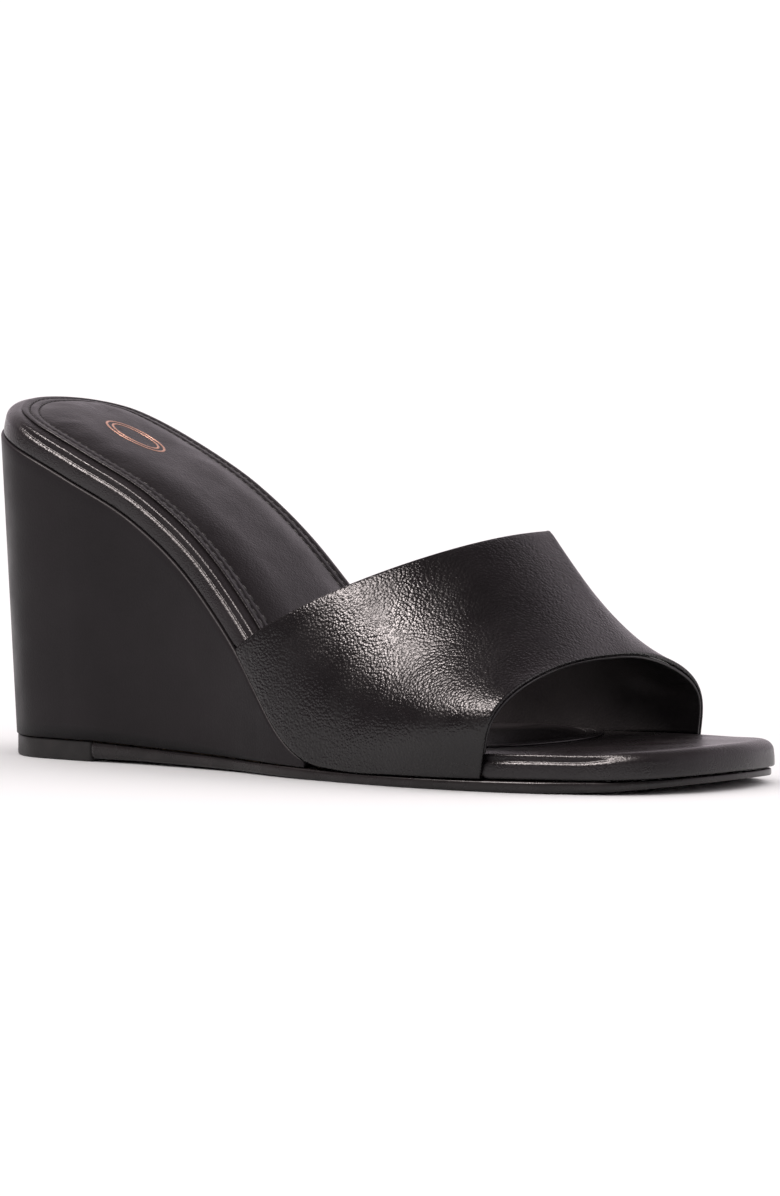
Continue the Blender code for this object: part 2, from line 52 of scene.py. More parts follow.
# The footbed, as in the CAD: seen from the side (X, Z) and from above (X, Y).
FOOTBED_SIDE = [
    (0, 90.9), (20, 85.8), (40, 77.8), (60, 68.0), (80, 53.5), (90, 43.6), (100, 32.6),
    (107, 24.0), (114, 16.0), (121, 11.2), (130, 9.9), (150, 9.8), (185, 10.2), (205, 10.5), (214, 11.0),
    (223, 11.9),
]
FOOTBED_PLAN = [
    (2.4, 1), (9.4, -15.6), (21, -25.7), (40, -28.5), (65, -28.1), (95, -31.2), (121, -38.5), (150, -42.6),
    (175, -41.2), (196, -35.3), (209.5, -28), (217.5, -15), (220.4, -1), (219.8, 12), (215.6, 25.5),
    (207, 34.2), (194, 38.5), (170, 39.2), (145, 34.6), (118, 28.4), (88, 25), (58, 27.1), (34, 29.3),
    (15, 27.3), (5.1, 18),
]

# The turned-under margins' lower face and the wedge's top, as depths under the footbed's upper face, the
# margins' width, and the cement's gap between two layers.
MARGIN_BOTTOM = 6.9
WEDGE_TOP = 7.2
MARGIN_WIDTH = 8.0
LAYER_GAP = 0.3

# The wrap's section, as (inset, depth): the side band, and then its upper corner, a groove and the soft
# crest. Round the toe and the heel the last three melt into one rounding, given by its width and height,
# between two distances along X. Where the vamp's margins turn under, it is cut off at an inset and a depth.
BAND = [(1.2, 6.9), (0.35, 6.8), (0.08, 6.5), (0, 6.0), (-0.04, 4.5)]
CREST = [
    (0, 3.3), (0.03, 3.1), (0.12, 2.92), (0.36, 2.6), (0.46, 2.53), (0.56, 2.56), (0.68, 2.6), (0.76, 2.3),
    (0.8, 1.5), (0.86, 1.02), (1.0, 0.8), (1.3, 0.64), (2.0, 0.46), (3.2, 0.2), (4.6, 0.05), (6.5, 0),
]
END_ROUNDING = (3.2, 2.9)
END_BLENDS = [(197.0, 211.0), (32.0, 13.0)]
WRAP_INNER = [(9, 1.0), (4.5, 1.0), (2.6, 1.25), (1.35, 2.2), (1.15, 2.9), (0.9, 5.6)]
WRAP_CUT = (1.0, 5.8)

# The sock: inset of its edge, how far that edge follows the footbed, its front edge across the ball, its
# rows of stitches, each in a channel of (aside, dip) pairs, and its heights.
SOCK_INSET = 3.4
SOCK_SIDE_END = 140.0
SOCK_FRONT = [(150, -39), (163, -36), (171, -27), (174.5, -12), (174, 3), (169, 19), (160, 31), (150, 32.5)]
STITCH_ROWS = (2.0, 4.4)
STITCH_PITCH = 2.3
STITCH_THREAD = 0.2
STITCH_CHANNEL = [(-0.6, 0), (-0.3, 0.16), (0, 0.38), (0.3, 0.16), (0.6, 0)]
STITCH_PULL = 0.05
THREAD_DROP = 0.14
SOCK_RIM = 0.55
SOCK_CROWN = 2.2
SOCK_SHOULDER = 11.0
SHOULDER_START = 0.55
SHOULDER_FALL = 2.2
PUCKER = 0.1

# The foil mark on the sock: the middle and the half sizes of an oval, and the width of its line.
MARK_PLACE = (37.0, 0.5)
MARK_SIZES = [(8.5, 5.5), (6.9, 4.1)]
MARK_LINE = 0.6
MARK_COPPER = ((0.60, 0.33, 0.24), (0.78, 0.46, 0.34))

# The sole and the wedge's foot. At the heel the sole follows the wedge's foot, and further forward the
# footbed's edge, between two distances along X.
SOLE_UPPER_FACE = [
    (0, 5.2), (44.6, 5.2), (60, 4.5), (95, 3.4), (125, 2.6), (150, 2.6), (185, 2.9), (205, 3.2),
    (214, 3.7), (223, 4.5),
]
SOLE_LOWER_FACE = [(0, 0.8), (60, 0.8), (95, 0.4), (128, 0), (188, 0), (205, 0.8), (214, 1.8), (223, 3.0)]
SOLE_INSET = [(0, 0.5), (95, 0.3), (122, -0.6), (190, -0.6), (206, 0.3), (215, 0.9), (223, 0.9)]
TOP_PIECE_FRONT = 44.6
TOP_PIECE_GAP = 0.3
TOP_PIECE_NAILS = [(14.5, 0.6), (21.4, 11.3), (21.4, -11.3)]
NAIL_RECESS = 2.5
RECESS_DEPTH = 1.7
HEEL_BLEND = (80.0, 100.0)
WEDGE_FRONT = 121.0
WEDGE_LEAN = 5.7
WEDGE_LEAN_REACH = 70.0
WEDGE_NARROWING = 26.6 / 28.6
WEDGE_NARROW_REACH = 90.0
WEDGE_LEATHER = 0.8
WEDGE_PROUD = 0.4

# The wedge leather's upper rim, turned in over the core: its top, its thickness, and (inset, drop) pairs.
# Its front ends return over the core's front, given by (advance, inset of the inner side) pairs. Where the
# wedge is lower than the rim's room, the rim shrinks with it.
RIM_TOP = 6.98
RIM_ROOM = 4.0
RIM_LEATHER = 0.17
WEDGE_RETURN = [(0.2, 0), (0.22, 4.0), (0.5, 4.0)]
WEDGE_RIM = [(3.0, RIM_LEATHER), (3.0, 0), (0.3, 0), (0.08, 0.02), (-0.14, 0.1), (-0.34, 0.36), (-0.4, 0.8)]

# The vamp: where its foot starts and ends along X on each side, the three points that steer its ridge from
# back to front, and its section's shape at the back and at the front edge. Its back edge curls towards the
# foot, by a depth over a distance, and its thickness keeps one direction past a share of the way forward.
VAMP_LATERAL = (97.8, 173.6)
VAMP_MEDIAL = (96.3, 184.0)
VAMP_RIDGE = [(150.2, 22.5, 60.7), (183, 6.3, 32.4), (182.3, 5, 31.7)]
VAMP_SWEEP = (1.06, 0.67)
VAMP_SQUARE = (2.65, 2.82)
VAMP_TALL = (2.07, 3.1)
VAMP_LEATHER = 0.8
VAMP_PROUD = 1.1
VAMP_BULGE = (4.4, 4.8)
VAMP_HEM = 0.07
VAMP_HEM_STEP = 0.012
VAMP_STEADY = 0.8
HEM_DEPTH = 1.1
VAMP_CURL = (0.3, 3.0)

# The vamp's lining: the depths of its outer and inner face at its edges and further inside, how far its
# edges are set back and how far in it settles, and the depth at which it ends on the footbed.
LINING_AT_EDGE = (1.35, 2.1)
LINING_INSIDE = (1.75, 2.5)
LINING_SETBACK = 0.1
LINING_SETTLES = 4.0
LINING_FOOT = 0.8

# How finely the pieces are cut: points along each side of an outline or round the foot, rows across it,
# and rows up the wedge.
WRAP_POINTS = 300
SOCK_POINTS = 420
WEDGE_POINTS = 260
SOLE_POINTS = 300
TOP_PIECE_POINTS = 90
VAMP_POINTS = 190
LINING_POINTS = 150
FOOTBED_ROWS = 22
SOCK_ROWS = 16
TOP_PIECE_ROWS = 14
WEDGE_ROWS = 16

# The blacks, darkest and lightest, slightly warm.
WRAP_BLACK = ((0.0065, 0.0054, 0.006), (0.0115, 0.0098, 0.0108))
SOCK_BLACK = ((0.008, 0.0067, 0.0075), (0.0135, 0.0115, 0.0125))
WEDGE_BLACK = ((0.0064, 0.0055, 0.0063), (0.0092, 0.0079, 0.009))
VAMP_BLACK = ((0.0045, 0.0037, 0.004), (0.0075, 0.0063, 0.0068))
LINING_BLACK = ((0.010, 0.0086, 0.0094), (0.0165, 0.0144, 0.0155))

# Camera: a long lens, low over the lateral side of the toe.
CAMERA_AZIMUTH = 34.8
CAMERA_ELEVATION = 3.8
CAMERA_ROLL = 0.3
CAMERA_DISTANCE = 2.823
CAMERA_LENS = 338.2
CAMERA_TARGET = (115.2, 3.15, 42.9)

# Light: a large soft box for the sandal, a strip for its edges, a wash for the floor, a white wall behind
# and a dim room. The wall fades in and out between two values of the view's direction along Y and Z.
KEY_AZIMUTH = -34.0
KEY_ELEVATION = 57.0
KEY_SPREAD = 20.0
KEY_STRENGTH = 4.1
KEY_COLOUR = (1.0, 0.9, 0.88)
STRIP_AZIMUTH = 14.0
STRIP_ELEVATION = 59.0
STRIP_SPREAD = 20.0
STRIP_STRENGTH = 2.5
WASH_SPREAD = 160.0
WASH_STRENGTH = 2.8
WASH_COLOUR = (1.0, 0.975, 0.965)
ROOM_COLOUR = (1.0, 0.89, 0.96)
WALL_SIDE = (-0.2, 0.5)
WALL_TOP = (0.45, 0.85)
WALL_GLOW = 0.7
ROOM_GLOW = 0.15
BACKGROUND_GLOW = 1.4
FLOOR_SIZE = 60


# ---------------------------------------------------------------- shape


def hermite(knots, values, where):
    """A smooth curve through the values, read at the given places."""
    knots = np.asarray(knots, float)
    values = np.asarray(values, float)
    where = np.atleast_1d(np.asarray(where, float))
    slopes = np.gradient(values, knots, axis=0)
    i = np.clip(np.searchsorted(knots, where, side="right") - 1, 0, len(knots) - 2)
    span = knots[i + 1] - knots[i]
    t = (where - knots[i]) / span
    if values.ndim == 2:
        t = t[:, None]
        span = span[:, None]
    start = (1 + 2 * t) * (1 - t) ** 2 * values[i] + t * (1 - t) ** 2 * span * slopes[i]
    end = t * t * (3 - 2 * t) * values[i + 1] + t * t * (t - 1) * span * slopes[i + 1]
    return start + end


def footbed_height(x):
    side = np.array(FOOTBED_SIDE)
    return hermite(side[:, 0], side[:, 1], np.clip(x, 0, side[-1, 0]))


def footbed_normal(x):
    slope = footbed_height(np.add(x, 0.5)) - footbed_height(np.subtract(x, 0.5))
    length = np.sqrt(slope**2 + 1)
    return -slope / length, 1 / length


def on_footbed(plan, depth):
    """Points at a depth below the footbed's upper face, from plan points."""
    plan = np.asarray(plan, float)
    x = plan[..., 0].ravel()
    normal_x, normal_z = (part.reshape(plan.shape[:-1]) for part in footbed_normal(x))
    height = footbed_height(x).reshape(plan.shape[:-1])
    return np.stack([plan[..., 0] - depth * normal_x, plan[..., 1], height - depth * normal_z], axis=-1)


def arc_lengths(points):
    steps = np.linalg.norm(np.diff(points, axis=0), axis=-1)
    return np.concatenate([[0], np.cumsum(steps)])


def resample(points, where, lengths):
    """Points read at places along a curve, from the curve's length at each of its points."""
    return np.stack([np.interp(where, lengths, points[:, k]) for k in range(points.shape[1])], axis=1)


def smoothstep(share):
    share = np.clip(share, 0, 1)
    return share * share * (3 - 2 * share)


def inward_normals(points):
    tangent = np.gradient(points, axis=0)
    tangent /= np.linalg.norm(tangent, axis=1)[:, None]
    return np.stack([-tangent[:, 1], tangent[:, 0]], axis=1)


def smooth_loop(points):
    """A fine closed curve through plan points, from its rearmost point round by the lateral side."""
    points = np.array(points[-2:] + points + points[:3], float)
    knots = np.concatenate([[0], np.cumsum(np.linalg.norm(np.diff(points, axis=0), axis=1) ** 0.5)])
    curve = hermite(knots, points, np.linspace(knots[2], knots[-3], 2401)[:-1])
    return np.roll(curve, -int(curve[:, 0].argmin()), axis=0)


def two_sides(loop):
    """The lateral and the medial half of a closed curve, both from the heel to the toe, with normals."""
    closed = np.vstack([loop[-1:], loop, loop[:2]])
    normals = inward_normals(closed)[1:-1]
    closed = closed[1:-1]
    toe = int(loop[:, 0].argmax())
    return (closed[: toe + 1], normals[: toe + 1]), (closed[toe:][::-1], normals[toe:][::-1])


FOOTBED_SIDES = two_sides(smooth_loop(FOOTBED_PLAN))


def side_at(x, side):
    """The footbed's edge and its inward normal at a distance along X."""
    points, normals = FOOTBED_SIDES[side]
    y = np.interp(x, points[:, 0], points[:, 1])
    normal = np.stack([np.interp(x, points[:, 0], normals[:, k]) for k in (0, 1)], axis=-1)
    return np.stack([np.asarray(x, float) + 0 * y, y], axis=-1), normal


class Ring:
    """Plan points round an outline. Point i and point -1-i face each other across the foot."""

    def __init__(self, sides, count, start=None, end=None):
        halves = []
        for points, normals in sides:
            keep = np.ones(len(points), bool)
            if start is not None:
                keep &= points[:, 0] >= start
            if end is not None:
                keep &= points[:, 0] <= end
            points = points[keep].copy()
            normals = normals[keep].copy()
            if start is not None:
                points[0, 0] = start
                normals[0] = (0, np.sign(normals[0, 1]))
            if end is not None:
                points[-1, 0] = end
                normals[-1] = (0, np.sign(normals[-1, 1]))
            lengths = arc_lengths(points)
            where = np.linspace(0, lengths[-1], count)
            normals = resample(normals, where, lengths)
            normals /= np.linalg.norm(normals, axis=1)[:, None]
            halves.append((resample(points, where, lengths), normals))
        self.points = np.vstack([halves[0][0], halves[1][0][::-1]])
        self.normals = np.vstack([halves[0][1], halves[1][1][::-1]])
        self.half = count

    def plan(self, inset):
        return self.points + self.normals * np.reshape(inset, (-1, 1))


# ---------------------------------------------------------------- meshes


def make_object(name, mesh, material):
    """The mesh, designed in millimetres, as a smooth object in the frame."""
    bmesh.ops.remove_doubles(mesh, verts=mesh.verts, dist=1e-4)
    bmesh.ops.recalc_face_normals(mesh, faces=mesh.faces)
    for vertex in mesh.verts:
        vertex.co = Vector(((vertex.co.x - FRAME_X) * MM, (vertex.co.y - FRAME_Y) * MM, vertex.co.z * MM))
    data = bpy.data.meshes.new(name)
    mesh.to_mesh(data)
    mesh.free()
    data.shade_smooth()
    data.materials.append(material)
    piece = bpy.data.objects.new(name, data)
    bpy.context.scene.collection.objects.link(piece)
    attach(piece, "root")
    return piece


def bridge(mesh, first, second):
    """Faces between two closed rings of vertices."""
    for i in range(len(first)):
        j = (i + 1) % len(first)
        mesh.faces.new((first[i], first[j], second[j], second[i]))


def add_rings(mesh, rings, closed=True):
    """Faces between rings of points, and the rings' vertices."""
    layers = [[mesh.verts.new(point) for point in ring] for ring in rings]
    size = len(layers[0])
    for upper, lower in zip(layers, layers[1:]):
        for i in range(size if closed else size - 1):
            j = (i + 1) % size
            mesh.faces.new((upper[i], upper[j], lower[j], lower[i]))
    return layers


def add_cap(mesh, layer, plan, surface, columns):
    """Fills a ring with rows across the foot; surface turns plan points into points in space."""
    half = len(layer) // 2
    lateral = plan[:half]
    medial = plan[half:][::-1]
    share = np.linspace(0, 1, columns + 2)[1:-1, None, None]
    inside = surface(lateral + (medial - lateral) * share)
    rows = [layer[:half]]
    rows += [[mesh.verts.new(point) for point in row] for row in inside]
    rows.append(layer[half:][::-1])
    for left, right in zip(rows, rows[1:]):
        for i in range(half - 1):
            mesh.faces.new((left[i], left[i + 1], right[i + 1], right[i]))
    return rows


def close_cut(mesh, rows, layer, beside, i):
    """Joins a cap's straight border to the shell's cut end, where the outline crosses the foot."""
    border = [row[i] for row in rows]
    corners = (layer[i], layer[-1 - i], beside[-1 - i], beside[i])
    mesh.faces.remove(mesh.faces.get(corners))
    mesh.faces.new(border + [beside[-1 - i], beside[i]])


def shell_from(name, ring, profile, depth_of_caps, material, columns, surface):
    """A closed solid round an outline from (inset, depth) pairs, capped inside both end rings."""
    mesh = bmesh.new()
    plans = [ring.plan(inset) for inset, _ in profile]
    layers = add_rings(mesh, [surface(plan, depth) for plan, (_, depth) in zip(plans, profile)])
    for end, beside, depth in zip((0, -1), (1, -2), depth_of_caps):
        rows = add_cap(mesh, layers[end], plans[end], lambda plan, d=depth: surface(plan, d), columns)
        for i in (0, ring.half - 1):
            if (layers[end][i].co - layers[end][-1 - i].co).length > 1:
                close_cut(mesh, rows, layers[end], layers[beside], i)
    return make_object(name, mesh, material)


# ---------------------------------------------------------------- materials


def feed(tree, socket, value):
    """Links a socket to another node's output, or sets its constant."""
    if isinstance(value, bpy.types.NodeSocket):
        tree.links.new(value, socket)
    else:
        socket.default_value = value


def add_node(tree, kind, inputs=None, **settings):
    """A node with its settings, fed by other nodes' outputs or by constants."""
    node = tree.nodes.new(kind)
    for key, value in settings.items():
        setattr(node, key, value)
    for key, value in (inputs or {}).items():
        feed(tree, node.inputs[key], value)
    return node


class Nodes:
    """A small helper to lay out a material's nodes."""

    def __init__(self, name):
        self.material = bpy.data.materials.new(name)
        self.material.use_nodes = True
        self.tree = self.material.node_tree
        self.shader = self.tree.nodes["Principled BSDF"]
        self.place = self.tree.nodes.new("ShaderNodeTexCoord").outputs["Object"]

    def add(self, kind, inputs=None, **settings):
        return add_node(self.tree, kind, inputs, **settings)

    def noise(self, scale, detail, place=None):
        inputs = {"Vector": place or self.place, "Scale": scale, "Detail": detail}
        return self.add("ShaderNodeTexNoise", inputs).outputs["Fac"]

    def cells(self, scale, place):
        return self.add("ShaderNodeTexVoronoi", {"Vector": place, "Scale": scale}).outputs["Distance"]

    def ramp(self, factor, *stops):
        """A colour between two stops, each a place and a colour."""
        node = self.add("ShaderNodeValToRGB", {"Fac": factor})
        for element, (place, colour) in zip(node.color_ramp.elements, stops):
            element.position = place
            element.color = (*colour, 1)
        return node.outputs["Color"]

    def span(self, factor, low, high, start, end):
        inputs = {"Value": factor, "From Min": start, "From Max": end, "To Min": low, "To Max": high}
        return self.add("ShaderNodeMapRange", inputs).outputs["Result"]

    def maths(self, operation, first, second):
        return self.add("ShaderNodeMath", {0: first, 1: second}, operation=operation).outputs["Value"]

    def bump(self, height, strength, distance, normal=None):
        inputs = {"Height": height, "Strength": strength, "Distance": distance}
        if normal is not None:
            inputs["Normal"] = normal
        return self.add("ShaderNodeBump", inputs).outputs["Normal"]

    def finish(self, **sockets):
        for key, value in sockets.items():
            feed(self.tree, self.shader.inputs[key.replace("_", " ")], value)
        return self.material


def leather(name, colours, roughness, grain, size, specular, wrinkle=0.0):
    """Finished leather: domed pebbles with fine pores between them, uneven dye and uneven polish."""
    n = Nodes(name)
    colour = n.ramp(n.noise(55, 4), (0.3, colours[0]), (0.75, colours[1]))
    drift = n.add("ShaderNodeTexNoise", {"Vector": n.place, "Scale": 1.3 / size, "Detail": 1.0})
    stir = {0: drift.outputs["Color"], 1: (0.3 * size,) * 3, 2: n.place}
    stirred = n.add("ShaderNodeVectorMath", stir, operation="MULTIPLY_ADD").outputs["Vector"]
    pebbles = n.maths("MULTIPLY", n.cells(1 / size, stirred), -1.0)
    pores = n.maths("MULTIPLY", n.cells(2.3 / size, stirred), -0.25)
    normal = n.bump(n.maths("ADD", pebbles, pores), grain, size * 0.25)
    if wrinkle:
        normal = n.bump(n.noise(260, 5), wrinkle, 0.0006, normal)
    polish = n.span(n.noise(90, 3), roughness - 0.04, roughness + 0.06, 0.35, 0.65)
    shader = {"Base_Color": colour, "Roughness": polish, "Normal": normal, "Specular_IOR_Level": specular}
    return n.finish(**shader)


def rubber(name, dark, light, roughness):
    """Moulded rubber: matt, with a slight bloom and a fine pitted skin."""
    n = Nodes(name)
    colour = n.ramp(n.noise(180, 5), (0.35, dark), (0.7, light))
    normal = n.bump(n.noise(2600, 3), 0.25, 0.00015)
    polish = n.span(n.noise(120, 4), roughness - 0.06, roughness + 0.08, 0.35, 0.65)
    return n.finish(Base_Color=colour, Roughness=polish, Normal=normal, Specular_IOR_Level=0.4)


def grained(name, dark, light, scale, roughness, bump, metallic=0.0, stretch=(1, 1, 1)):
    """Board, cork, foam, cloth or brushed metal, by the size and stretch of its grain."""
    n = Nodes(name)
    place = n.add("ShaderNodeMapping", {"Vector": n.place, "Scale": stretch}).outputs["Vector"]
    grain = n.noise(scale, 6, place)
    cells = n.cells(scale * 0.6, place)
    mix = n.maths("ADD", n.maths("MULTIPLY", grain, 0.6), n.maths("MULTIPLY", cells, 0.4))
    colour = n.ramp(mix, (0.25, dark), (0.65, light))
    normal = n.bump(mix, bump, 0.0003)
    polish = n.span(grain, roughness - 0.08, roughness + 0.08, 0.3, 0.7)
    return n.finish(Base_Color=colour, Roughness=polish, Normal=normal, Metallic=metallic)


# ---------------------------------------------------------------- pieces


def crest_profile(ring):
    """The wrap's upper section as (insets, depth) arrays round the ring, rounder at its two ends."""
    x = ring.points[:, 0]
    soft = smoothstep(np.max([(x - start) / (end - start) for start, end in END_BLENDS], axis=0))
    width, height = END_ROUNDING
    turn = np.linspace(0, math.pi / 2, len(CREST))
    profile = []
    for (inset, depth), angle in zip(CREST, turn):
        round_inset = width * (1 - math.cos(angle))
        round_depth = height * (1 - math.sin(angle))
        profile.append((inset + (round_inset - inset) * soft, depth + (round_depth - depth) * soft))
    return profile


def footbed_wrap():
    """The leather wrapped over the footbed's top and sides, turned under except below the vamp."""
    ring = Ring(FOOTBED_SIDES, WRAP_POINTS)
    x = ring.points[:, 0]
    lateral = np.arange(len(x)) < ring.half
    start = np.where(lateral, VAMP_LATERAL[0], VAMP_MEDIAL[0])
    end = np.where(lateral, VAMP_LATERAL[1], VAMP_MEDIAL[1])
    covered = np.clip(np.minimum(x - start, end - x) + 1, 0, 1)
    cut_inset, cut_depth = WRAP_CUT
    under = []
    for inset, depth in [(MARGIN_WIDTH, MARGIN_BOTTOM)] + BAND:
        trimmed = inset + covered * (min(inset, cut_inset) - inset)
        under.append((trimmed, depth - covered * max(depth - cut_depth, 0)))
    profile = under + crest_profile(ring)
    top_plan = ring.plan(profile[-1][0])
    mesh = bmesh.new()
    layers = add_rings(mesh, [on_footbed(ring.plan(inset), depth) for inset, depth in profile])
    add_cap(mesh, layers[-1], top_plan, lambda plan: on_footbed(plan, 0.0), FOOTBED_ROWS)
    below = add_rings(mesh, [on_footbed(ring.plan(inset), depth) for inset, depth in WRAP_INNER])
    inner_inset, inner_depth = WRAP_INNER[0]
    inner_plan = ring.plan(inner_inset)
    add_cap(mesh, below[0], inner_plan, lambda plan: on_footbed(plan, inner_depth), FOOTBED_ROWS)
    bridge(mesh, layers[0], below[-1])
    skin = leather("wrap_nappa", WRAP_BLACK, 0.28, 0.5, 0.00045, 0.45, 0.1)
    piece = make_object("footbed_wrap", mesh, skin)
    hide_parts("insole_cover")
    return piece


def sock_sides():
    """The sock's outline: the footbed's edge moved inwards, closed by a curve across the ball."""
    outline = []
    for points, normals in FOOTBED_SIDES:
        moved = points + normals * SOCK_INSET
        outline.append(moved[moved[:, 0] < SOCK_SIDE_END][::40])
    loop = [tuple(p) for p in outline[0]] + SOCK_FRONT + [tuple(p) for p in outline[1][::-1][:-1]]
    return two_sides(smooth_loop(loop))


def sock_profile(ring):
    """The sock's section, as (inset, depth) round its outline: a stitched rim, then the pad's shoulder."""
    lengths = arc_lengths(ring.points)
    profile = [(0.4, -0.02), (0.05, -0.08), (0, -0.3), (0.12, -SOCK_RIM + 0.06), (0.4, -SOCK_RIM)]
    pulled = STITCH_PULL * np.cos(2 * math.pi * lengths / STITCH_PITCH)
    for row in STITCH_ROWS:
        for aside, dip in STITCH_CHANNEL:
            profile.append((row + aside, -SOCK_RIM + dip - pulled * (dip > 0)))
    waves = np.sin(lengths / 1.9 + 1.3 * np.sin(lengths / 7.3))
    start = STITCH_ROWS[-1] + SHOULDER_START
    for part in np.linspace(0.06, 1, 12):
        rise = 1 - (1 - part) ** SHOULDER_FALL
        soft = PUCKER * waves * math.sin(math.pi * part) * (1 - part)
        profile.append((start + SOCK_SHOULDER * part, -SOCK_RIM - (SOCK_CROWN - SOCK_RIM) * rise + soft))
    return profile


def sock():
    """The padded sock, edge-stitched in two rows, with its thread and its foil mark."""
    ring = Ring(sock_sides(), SOCK_POINTS)
    profile = sock_profile(ring)
    mesh = bmesh.new()
    layers = add_rings(mesh, [on_footbed(ring.plan(inset), depth) for inset, depth in profile])
    for end, depth in ((-1, -SOCK_CROWN), (0, profile[0][1])):
        plan = ring.plan(profile[end][0])
        add_cap(mesh, layers[end], plan, lambda inside, d=depth: on_footbed(inside, d), SOCK_ROWS)
    skin = leather("sock_nappa", SOCK_BLACK, 0.38, 0.4, 0.0006, 0.45, 0.2)
    piece = make_object("padded_sock", mesh, skin)
    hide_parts("sock_lining", "sock_pad")
    stitches(ring)
    foil_mark()


def foil_mark():
    """Two plain oval rings in copper foil, laid on the sock over the heel."""
    turn = np.linspace(0, 2 * math.pi, 96, endpoint=False)
    circle = np.stack([np.cos(turn), np.sin(turn)], axis=1)
    mesh = bmesh.new()
    for size in MARK_SIZES:
        outer = MARK_PLACE + circle * size
        inner = MARK_PLACE + circle * (np.array(size) - MARK_LINE)
        low = 0.03 - SOCK_CROWN
        high = -0.04 - SOCK_CROWN
        rings = [(outer, low), (outer, high), (inner, high), (inner, low), (outer, low)]
        add_rings(mesh, [on_footbed(plan, depth) for plan, depth in rings])
    n = Nodes("copper_foil")
    colour = n.ramp(n.noise(900, 3), (0.3, MARK_COPPER[0]), (0.7, MARK_COPPER[1]))
    polish = n.span(n.noise(700, 2), 0.32, 0.45, 0.3, 0.7)
    foil = n.finish(Base_Color=colour, Roughness=polish, Metallic=0.7)
    piece = make_object("foil_mark", mesh, foil)


def stitches(ring):
    """Lock stitches in rows round the sock, each a short thread dipping into the leather at its ends."""
    thread = grained("black_thread", (0.006, 0.006, 0.006), (0.02, 0.02, 0.02), 5000, 0.5, 0.4)
    reach = np.array([0.08, 0.2, 0.5, 0.8, 0.92])
    dips = np.array([0.42, 0.1, 0, 0.1, 0.42])
    mesh = bmesh.new()
    for row in STITCH_ROWS:
        plan = ring.plan(row)
        lengths = arc_lengths(plan)
        for number in range(int(lengths[-1] // STITCH_PITCH)):
            places = resample(plan, (reach + number) * STITCH_PITCH, lengths)
            add_tube(mesh, on_footbed(places, THREAD_DROP - SOCK_RIM + dips), STITCH_THREAD, 6)
    piece = make_object("sock_stitching", mesh, thread)


def add_tube(mesh, path, radius, sides):
    """A closed tube along a short path, tapering to its ends."""
    tangent = np.gradient(path, axis=0)
    tangent /= np.linalg.norm(tangent, axis=1)[:, None]
    side = np.cross(tangent, (0, 0.1, 1))
    side /= np.linalg.norm(side, axis=1)[:, None]
    up = np.cross(side, tangent)
    turn = np.linspace(0, 2 * math.pi, sides, endpoint=False)
    thick = radius * np.sin(np.linspace(0.25, math.pi - 0.25, len(path))) ** 0.5
    rings = []
    for point, s, u, r in zip(path, side, up, thick):
        rings.append([point + r * (math.cos(a) * s + math.sin(a) * u) for a in turn])
    layers = add_rings(mesh, rings)
    mesh.faces.new(layers[0])
    mesh.faces.new(layers[-1])


def along(profile, x):
    """A value read at a distance along X from (X, value) pairs."""
    profile = np.array(profile, float)
    return np.interp(x, profile[:, 0], profile[:, 1])


def wedge_foot(crown):
    """The lower loop of the wedge for its upper loop: narrower, and leaning forward at the back."""
    foot = crown.copy()
    lean = np.clip(1 - crown[:, 0] / WEDGE_LEAN_REACH, 0, 1) ** 2
    foot[:, 0] = crown[:, 0] + WEDGE_LEAN * lean
    wide = 1 - np.clip(1 - crown[:, 0] / WEDGE_NARROW_REACH, 0, 1)
    foot[:, 1] = crown[:, 1] * (WEDGE_NARROWING + (1 - WEDGE_NARROWING) * wide)
    foot[:, 2] = along(SOLE_UPPER_FACE, foot[:, 0]) + LAYER_GAP
    return foot


def with_returns(loop, normals, inner):
    """An open loop of points with its two ends lengthened over the core's front."""
    ends = []
    for end in (0, -1):
        inward = np.append(normals[end], 0) * inner
        steps = [np.array((advance, 0, 0)) + inward * inset for advance, inset in WEDGE_RETURN]
        ends.append([loop[end] + step for step in steps])
    return np.vstack([ends[0][::-1], loop, ends[1]])


def wedge_skin():
    """The leather stretched over the wedge: one upright sheet, rolled in at its upper rim."""
    ring = Ring(FOOTBED_SIDES, WEDGE_POINTS, end=WEDGE_FRONT)
    crown = on_footbed(ring.plan(-WEDGE_PROUD), WEDGE_TOP)
    foot = wedge_foot(crown)
    room = np.clip((crown[:, 2] - foot[:, 2]) / RIM_ROOM, 0.1, 1)
    loops = [on_footbed(ring.plan(inset), RIM_TOP + drop * room) for inset, drop in WEDGE_RIM]
    top = loops[-1]
    loops += [top + (foot - top) * share for share in np.linspace(0.05, 1, WEDGE_ROWS)]
    inner_foot = foot.copy()
    inner_foot[:, :2] += ring.normals * WEDGE_LEATHER
    loops.append(inner_foot)
    loops.append(on_footbed(ring.plan(WEDGE_LEATHER - WEDGE_PROUD), RIM_TOP + RIM_LEATHER * room))
    order = np.concatenate([np.arange(ring.half)[::-1], np.arange(2 * ring.half - 2, ring.half - 1, -1)])
    within = [inset > 1 for inset, _ in WEDGE_RIM] + [False] * WEDGE_ROWS + [True, True]
    loops = [with_returns(loop[order], ring.normals[order], inner) for loop, inner in zip(loops, within)]
    mesh = bmesh.new()
    layers = add_rings(mesh, loops + loops[:1], closed=False)
    for end in (0, -1):
        mesh.faces.new([layer[end] for layer in layers[:-1]])
    skin = leather("wedge_calf", WEDGE_BLACK, 0.42, 0.15, 0.0006, 0.2)
    piece = make_object("wedge_skin", mesh, skin)
    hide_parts("wedge_cover")
    return piece


def sole_surface(plan, height):
    """Points between the sole's lower face (height 0) and its upper face (height 1)."""
    low = along(SOLE_LOWER_FACE, plan[..., 0])
    high = along(SOLE_UPPER_FACE, plan[..., 0])
    return np.stack([plan[..., 0], plan[..., 1], low + (high - low) * height], axis=-1)


